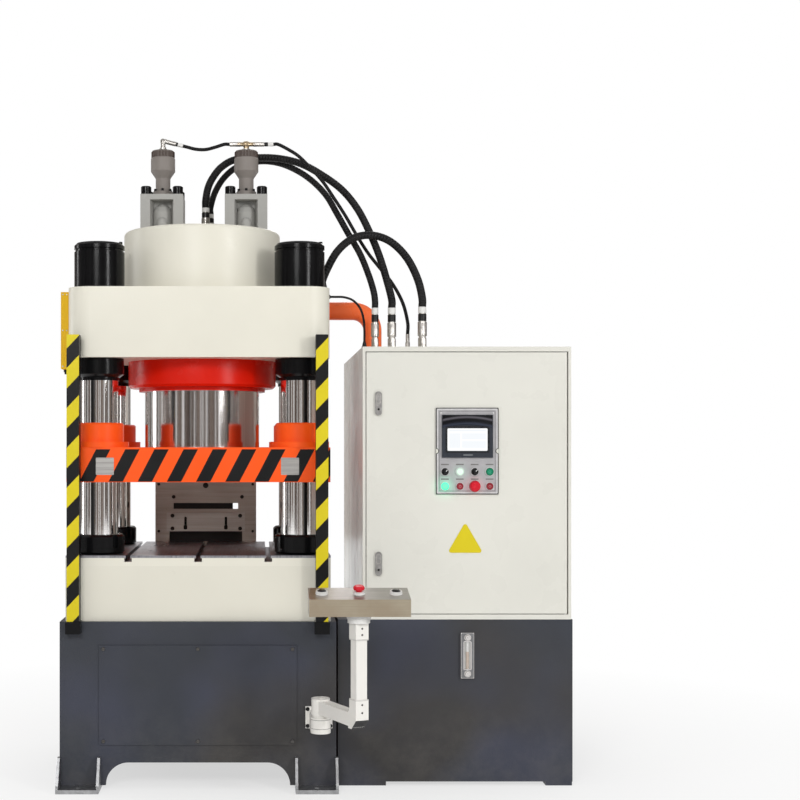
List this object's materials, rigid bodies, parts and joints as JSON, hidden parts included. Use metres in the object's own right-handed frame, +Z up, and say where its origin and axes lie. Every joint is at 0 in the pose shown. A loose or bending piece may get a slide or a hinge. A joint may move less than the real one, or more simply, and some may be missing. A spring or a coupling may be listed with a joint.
{
  "type": "transfer press",
  "caption": "Four-column down-stroke hydraulic press with rear feed gate, oil tank, control cabinet with hinged door and panel, and a two-hand console on a swing arm.",
  "frame": {"origin": "on the floor under the ram axis, at the centre of the four anchor holes", "axes": "+Z up along the ram and columns, +X to the right towards the tank and cabinet, +Y to the rear, away from the console"},
  "size_m": [1.971, 1.7491, 2.559],
  "materials": {
    "dark_paint": "satin enamel",
    "zinc": "zinc plated",
    "cream_paint": "semi-gloss enamel",
    "machined_steel": "ground",
    "chrome_plate": "hard chrome",
    "black_steel": "gloss black",
    "gland_red": "semi-gloss enamel",
    "orange_paint": "semi-gloss enamel",
    "yellow_paint": "yellow with black stripes",
    "box_yellow": "semi-gloss enamel",
    "valve_grey": "satin",
    "valve_head": "satin",
    "fitting_steel": "satin",
    "hose_rubber": "matt black",
    "pipe_orange": "gloss enamel",
    "motor_grey": "cast",
    "silver_plastic": "satin",
    "screen_bezel": "matt",
    "lens_white": "glossy",
    "button_black": "satin",
    "button_green": "glossy",
    "button_lit_green": "glossy",
    "button_red": "glossy",
    "white_paint": "powder coat",
    "stainless": "brushed",
    "gate_steel": "hot rolled"
  },
  "bodies": {
    "frame": {"base_frame": "dark_paint", "base_access_panel": "dark_paint", "panel_screws": "zinc", "anchor_feet": "zinc", "lower_beam": "cream_paint", "table_plate": "machined_steel", "columns": "chrome_plate", "column_lower_nuts": "black_steel", "column_collars": "black_steel", "column_cap_nuts": "black_steel", "crown": "cream_paint", "main_cylinder": "cream_paint", "gland_ring": "gland_red", "safety_posts": "yellow_paint", "post_brackets": "black_steel", "side_junction_box": "box_yellow", "prefill_valves": "valve_grey", "valve_heads": "valve_head", "valve_cap_screws": "black_steel", "crown_fittings": "fitting_steel", "cabinet_fittings": "fitting_steel", "pressure_hose_1": "hose_rubber", "pressure_hose_2": "hose_rubber", "pressure_hose_3": "hose_rubber", "pilot_hose_long": "hose_rubber", "pilot_hose_short": "hose_rubber", "sensor_cable": "hose_rubber", "return_pipe": "pipe_orange", "oil_tank": "dark_paint", "level_gauge": "chrome_plate", "cabinet_shell": "cream_paint", "mounting_panel": "zinc", "pump_motor": "motor_grey", "valve_manifold": "machined_steel", "door_hinges": "zinc", "console_bracket": "white_paint", "gate_frame": "gate_steel"},
    "slide": {"slide": "orange_paint", "ram": "chrome_plate", "guide_bushes": "orange_paint"},
    "shutter": {"gate_shutter": "gate_steel"},
    "door": {"door": "cream_paint", "control_panel_frame": "silver_plastic", "touch_screen": "screen_bezel", "pilot_lamp": "lens_white"},
    "upper_latch": {"latch_upper": "chrome_plate"},
    "lower_latch": {"latch_lower": "chrome_plate"},
    "left_selector": {"selector_1": "button_black"},
    "right_selector": {"selector_2": "button_black"},
    "green_push": {"green_button": "button_green"},
    "lit_green_push": {"lit_green_button": "button_lit_green"},
    "left_red_push": {"red_button_1": "button_red"},
    "right_red_push": {"red_button_2": "button_red"},
    "panel_stop": {"panel_estop": "button_red"},
    "arm": {"console_arm": "white_paint", "console_riser": "white_paint"},
    "console": {"console_box": "stainless"},
    "left_palm": {"palm_button_left": "button_black"},
    "right_palm": {"palm_button_right": "button_black"},
    "console_stop": {"console_estop": "button_red"}
  },
  "joints": [
    {"name": "ram_stroke", "type": "slide", "parent": "frame", "child": "slide", "axis": [0, 0, 1], "range_m": [-0.2, 0.15]},
    {"name": "shutter_height", "type": "slide", "parent": "frame", "child": "shutter", "axis": [0, 0, 1], "range_m": [-0.04, 0]},
    {"name": "door_hinge", "type": "hinge", "parent": "frame", "child": "door", "pos_m": [1.408, -0.352, 1.1605], "axis": [0, 0, 1], "range_deg": [0, 100]},
    {"name": "upper_latch_turn", "type": "hinge", "parent": "door", "child": "upper_latch", "pos_m": [0.69, -0.36, 1.466], "axis": [0, 1, 0], "range_deg": [0, 90]},
    {"name": "lower_latch_turn", "type": "hinge", "parent": "door", "child": "lower_latch", "pos_m": [0.69, -0.36, 0.851], "axis": [0, 1, 0], "range_deg": [0, 90]},
    {"name": "left_selector_turn", "type": "hinge", "parent": "door", "child": "left_selector", "pos_m": [0.9445, -0.371, 1.204], "axis": [0, 1, 0], "range_deg": [-45, 45]},
    {"name": "right_selector_turn", "type": "hinge", "parent": "door", "child": "right_selector", "pos_m": [1.0585, -0.371, 1.204], "axis": [0, 1, 0], "range_deg": [-45, 45]},
    {"name": "green_push_travel", "type": "slide", "parent": "door", "child": "green_push", "axis": [0, 1, 0], "range_m": [0, 0.004], "stiffness_N_per_m": 1000},
    {"name": "lit_green_push_travel", "type": "slide", "parent": "door", "child": "lit_green_push", "axis": [0, 1, 0], "range_m": [0, 0.004], "stiffness_N_per_m": 1000},
    {"name": "left_red_push_travel", "type": "slide", "parent": "door", "child": "left_red_push", "axis": [0, 1, 0], "range_m": [0, 0.004], "stiffness_N_per_m": 1000},
    {"name": "right_red_push_travel", "type": "slide", "parent": "door", "child": "right_red_push", "axis": [0, 1, 0], "range_m": [0, 0.004], "stiffness_N_per_m": 1000},
    {"name": "panel_stop_travel", "type": "slide", "parent": "door", "child": "panel_stop", "axis": [0, 1, 0], "range_m": [0, 0.006]},
    {"name": "arm_swivel", "type": "hinge", "parent": "frame", "child": "arm", "pos_m": [0.459, -0.57, 0.342], "axis": [0, 0, 1], "range_deg": [-60, 40]},
    {"name": "console_swivel", "type": "hinge", "parent": "arm", "child": "console", "pos_m": [0.58102, -0.84406, 0.69], "axis": [0, 0, 1], "range_deg": [-75, 75]},
    {"name": "left_palm_travel", "type": "slide", "parent": "console", "child": "left_palm", "axis": [0, 0.2106, -0.9776], "range_m": [0, 0.005], "stiffness_N_per_m": 1000},
    {"name": "right_palm_travel", "type": "slide", "parent": "console", "child": "right_palm", "axis": [0, 0.2106, -0.9776], "range_m": [0, 0.005], "stiffness_N_per_m": 1000},
    {"name": "console_stop_travel", "type": "slide", "parent": "console", "child": "console_stop", "axis": [0, 0.2106, -0.9776], "range_m": [0, 0.006]}
  ]
}
